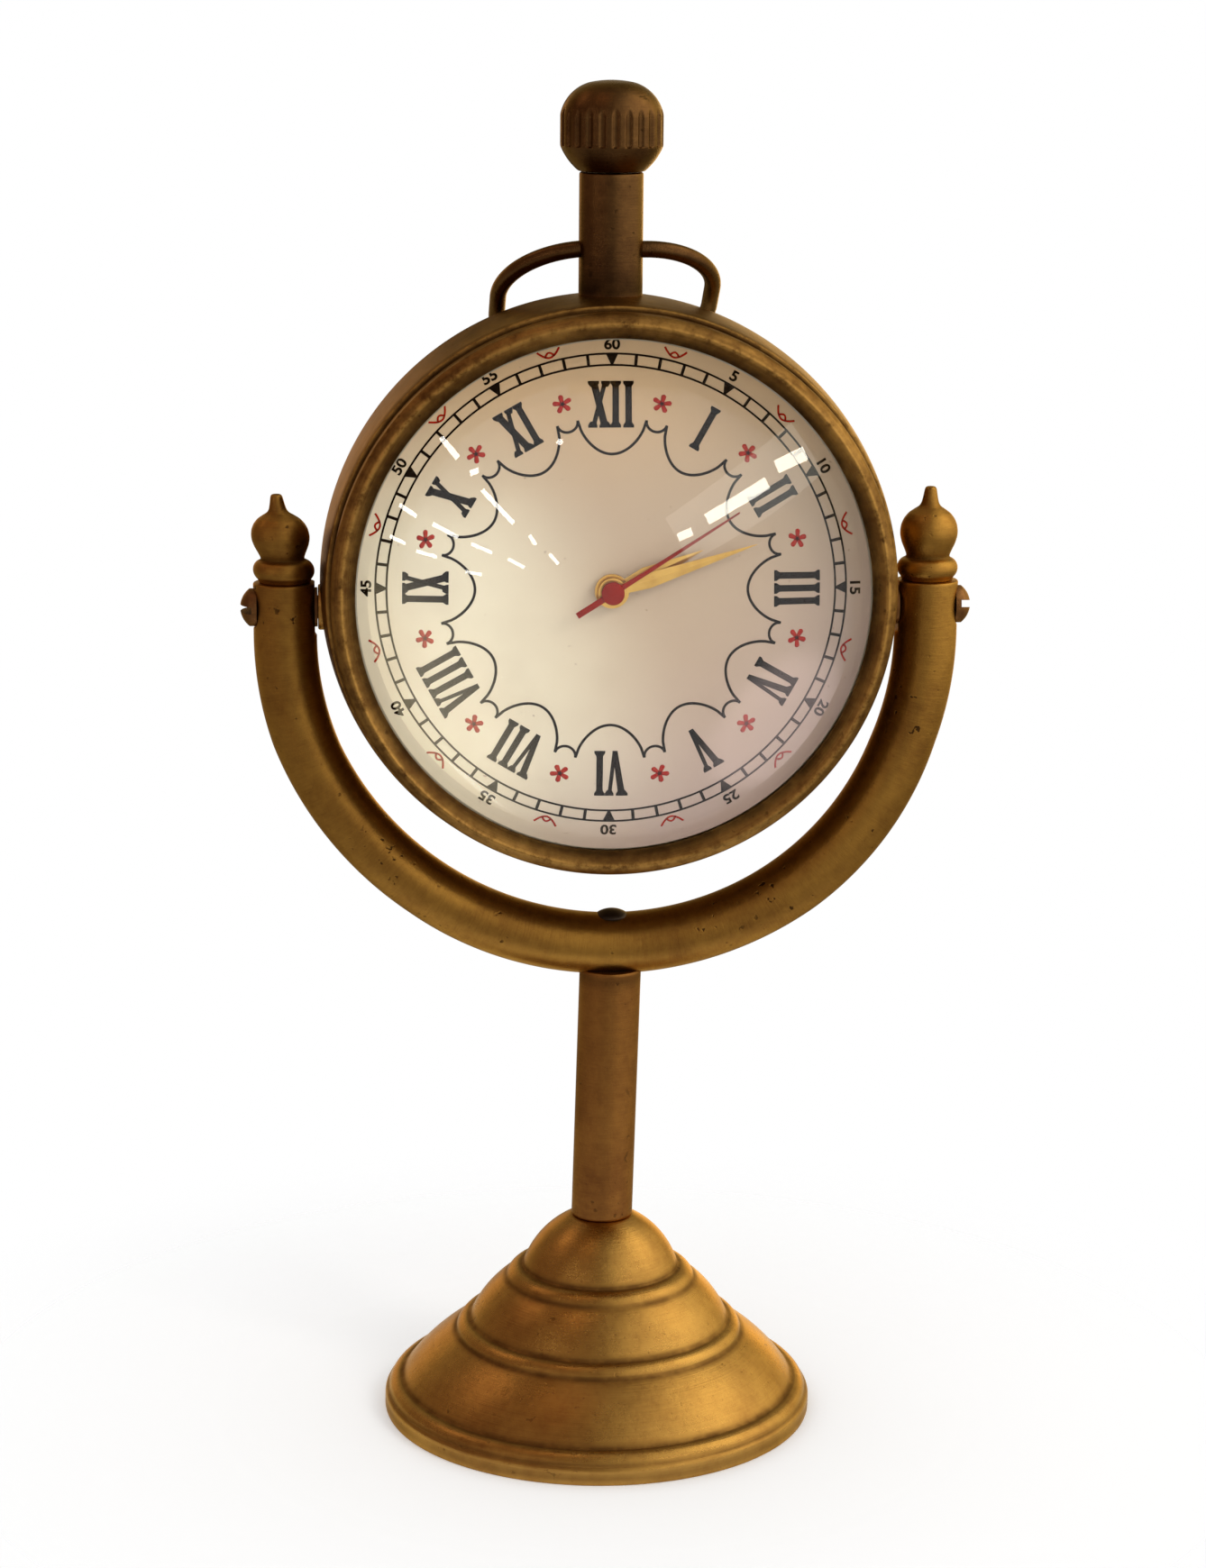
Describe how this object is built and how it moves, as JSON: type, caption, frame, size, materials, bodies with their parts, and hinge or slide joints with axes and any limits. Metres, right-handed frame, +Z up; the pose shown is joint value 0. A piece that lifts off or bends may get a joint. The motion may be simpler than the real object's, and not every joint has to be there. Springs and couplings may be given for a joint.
{
  "type": "desk clock",
  "caption": "Round brass desk clock with a domed magnifying lens, hung by pivot screws in a U-shaped yoke on a turned base, with a fluted crown and a wire bow on top.",
  "frame": {"origin": "on the table under the middle of the base", "axes": "+Z up, the dial faces -Y, and +X runs along the pivot line to the right as the dial is read"},
  "size_m": [0.093, 0.0564, 0.1736],
  "materials": {
    "base_brass": "aged, warm golden brass with dark grime in the grooves",
    "stand_brass": "aged brass, dark brown in places",
    "screw_brass": "dull aged brass",
    "case_brass": "aged brass, worn bright on the edges",
    "neck_brass": "dark, antiqued brass",
    "crystal_glass": "clear, polished",
    "dial_print": "matt cream print",
    "spacer_metal": "dark, matt",
    "hand_gold": "bright",
    "hand_red": "gloss red",
    "steel": "plain steel",
    "movement_plastic": "white moulding",
    "movement_brass": "plain brass",
    "coil_copper": "enamelled copper wire",
    "circuit_plastic": "green board and black chip"
  },
  "bodies": {
    "stand": {"base": "base_brass", "base_washer": "steel", "base_nut": "steel", "pillar": "stand_brass", "yoke": "stand_brass", "yoke_rivet": "screw_brass", "left_finial": "stand_brass", "right_finial": "stand_brass", "left_pivot_washer": "screw_brass", "right_pivot_washer": "screw_brass"},
    "case": {"case_band": "case_brass", "bezel": "case_brass", "crystal": "crystal_glass", "dial": "dial_print", "spacer_ring": "spacer_metal", "back_cover": "case_brass", "neck": "neck_brass", "left_pivot_screw": "screw_brass", "right_pivot_screw": "screw_brass", "movement_ring": "movement_plastic", "ring_screws": "steel", "movement_screws": "steel", "bridge_screws": "steel", "clip_screw": "steel", "main_plate": "movement_brass", "train_bridge": "movement_brass", "stator": "steel", "coil_core": "steel", "coil_winding": "coil_copper", "battery": "steel", "battery_clip": "steel", "circuit_board": "circuit_plastic", "circuit_chip": "circuit_plastic", "quartz_can": "steel"},
    "bow": {"bow": "neck_brass"},
    "setting_slide": {"setting_slide": "steel"},
    "crown": {"crown": "neck_brass", "setting_stem": "steel", "sliding_pinion": "steel"},
    "second": {"second_wheel": "movement_brass", "second_hand": "hand_red"},
    "step_wheel": {"step_wheel": "movement_brass"},
    "rotor": {"rotor": "steel"},
    "third_wheel": {"third_wheel": "movement_brass"},
    "centre_wheel": {"centre_wheel": "movement_brass"},
    "minute": {"cannon_pinion": "movement_brass", "minute_hand": "hand_gold"},
    "minute_wheel": {"minute_wheel": "movement_brass"},
    "hour": {"hour_wheel": "movement_brass", "hour_hand": "hand_gold"},
    "setting_wheel": {"setting_wheel": "movement_brass"}
  },
  "joints": [
    {"name": "case_tilt", "type": "hinge", "parent": "stand", "child": "case", "pos_m": [0, 0, 0.1079], "axis": [1, 0, 0], "range_deg": [-130, 130]},
    {"name": "bow_swing", "type": "hinge", "parent": "case", "child": "bow", "pos_m": [0, 0, 0.1529], "axis": [1, 0, 0], "range_deg": [0, 247]},
    {"name": "crown_pull", "type": "slide", "parent": "case", "child": "setting_slide", "axis": [0, 0, 1], "range_m": [0, 0.0012]},
    {"name": "crown_turn", "type": "hinge", "parent": "setting_slide", "child": "crown", "pos_m": [0, 0, 0.168], "axis": [0, 0, 1], "continuous": true},
    {"name": "second_turn", "type": "hinge", "parent": "case", "child": "second", "pos_m": [0, 0, 0.1109], "axis": [0, 1, 0], "continuous": true},
    {"name": "step_wheel_turn", "type": "hinge", "parent": "case", "child": "step_wheel", "pos_m": [0.00575, 0, 0.11299], "axis": [0, 1, 0], "continuous": true},
    {"name": "rotor_turn", "type": "hinge", "parent": "case", "child": "rotor", "pos_m": [0.00657, 0, 0.11604], "axis": [0, 1, 0], "continuous": true},
    {"name": "third_wheel_turn", "type": "hinge", "parent": "case", "child": "third_wheel", "pos_m": [-0.00575, 0, 0.10881], "axis": [0, 1, 0], "continuous": true},
    {"name": "centre_wheel_turn", "type": "hinge", "parent": "case", "child": "centre_wheel", "pos_m": [0, 0, 0.1109], "axis": [0, 1, 0], "continuous": true},
    {"name": "minute_turn", "type": "hinge", "parent": "case", "child": "minute", "pos_m": [0, 0, 0.1109], "axis": [0, 1, 0], "continuous": true},
    {"name": "minute_wheel_turn", "type": "hinge", "parent": "case", "child": "minute_wheel", "pos_m": [0.00145, 0, 0.11548], "axis": [0, 1, 0], "continuous": true},
    {"name": "hour_turn", "type": "hinge", "parent": "case", "child": "hour", "pos_m": [0, 0, 0.1109], "axis": [0, 1, 0], "continuous": true},
    {"name": "setting_wheel_turn", "type": "hinge", "parent": "case", "child": "setting_wheel", "pos_m": [0, 0, 0.1213], "axis": [0, 1, 0], "continuous": true}
  ],
  "couplings": [
    {"joint": "step_wheel_turn", "follows": "second_turn", "ratio": -5},
    {"joint": "rotor_turn", "follows": "second_turn", "ratio": 30},
    {"joint": "third_wheel_turn", "follows": "second_turn", "ratio": -0.13333},
    {"joint": "centre_wheel_turn", "follows": "second_turn", "ratio": 0.016667},
    {"joint": "minute_wheel_turn", "follows": "minute_turn", "ratio": -0.33333},
    {"joint": "hour_turn", "follows": "minute_turn", "ratio": 0.083333},
    {"joint": "setting_wheel_turn", "follows": "minute_turn", "ratio": 0.5}
  ]
}
